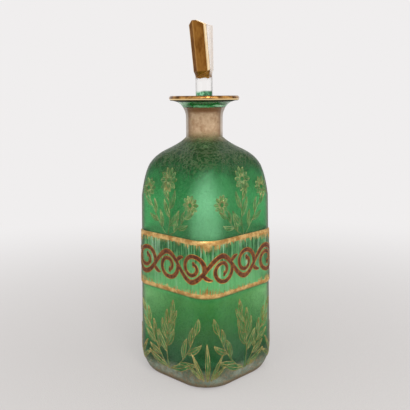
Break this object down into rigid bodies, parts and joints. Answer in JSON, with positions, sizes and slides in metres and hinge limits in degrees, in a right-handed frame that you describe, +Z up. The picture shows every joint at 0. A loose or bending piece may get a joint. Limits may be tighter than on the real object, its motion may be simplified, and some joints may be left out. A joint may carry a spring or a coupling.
{
  "type": "stoppered glass bottle",
  "caption": "Square frosted glass decanter with rounded shoulders, a narrow neck, a flared lip, a raised belt and a flat fan-shaped ground glass stopper that lifts out.",
  "frame": {"origin": "centre of the foot, on the surface that the bottle stands on", "axes": "+Z up along the neck; the four faces look along +X, -X, +Y and -Y"},
  "size_m": [0.0762, 0.0762, 0.2515],
  "materials": {
    "green_glass": "acid-frosted, translucent",
    "clear_glass": "cut and polished",
    "gilding": "fired and burnished gold",
    "enamel": "opaque fired enamel, satin"
  },
  "bodies": {
    "bottle": {"bottle": "green_glass"},
    "stopper": {"stopper": "clear_glass"}
  },
  "joints": [
    {"name": "stopper_lift", "type": "slide", "parent": "bottle", "child": "stopper", "axis": [0, 0, 1], "range_m": [0, 0.04]}
  ]
}
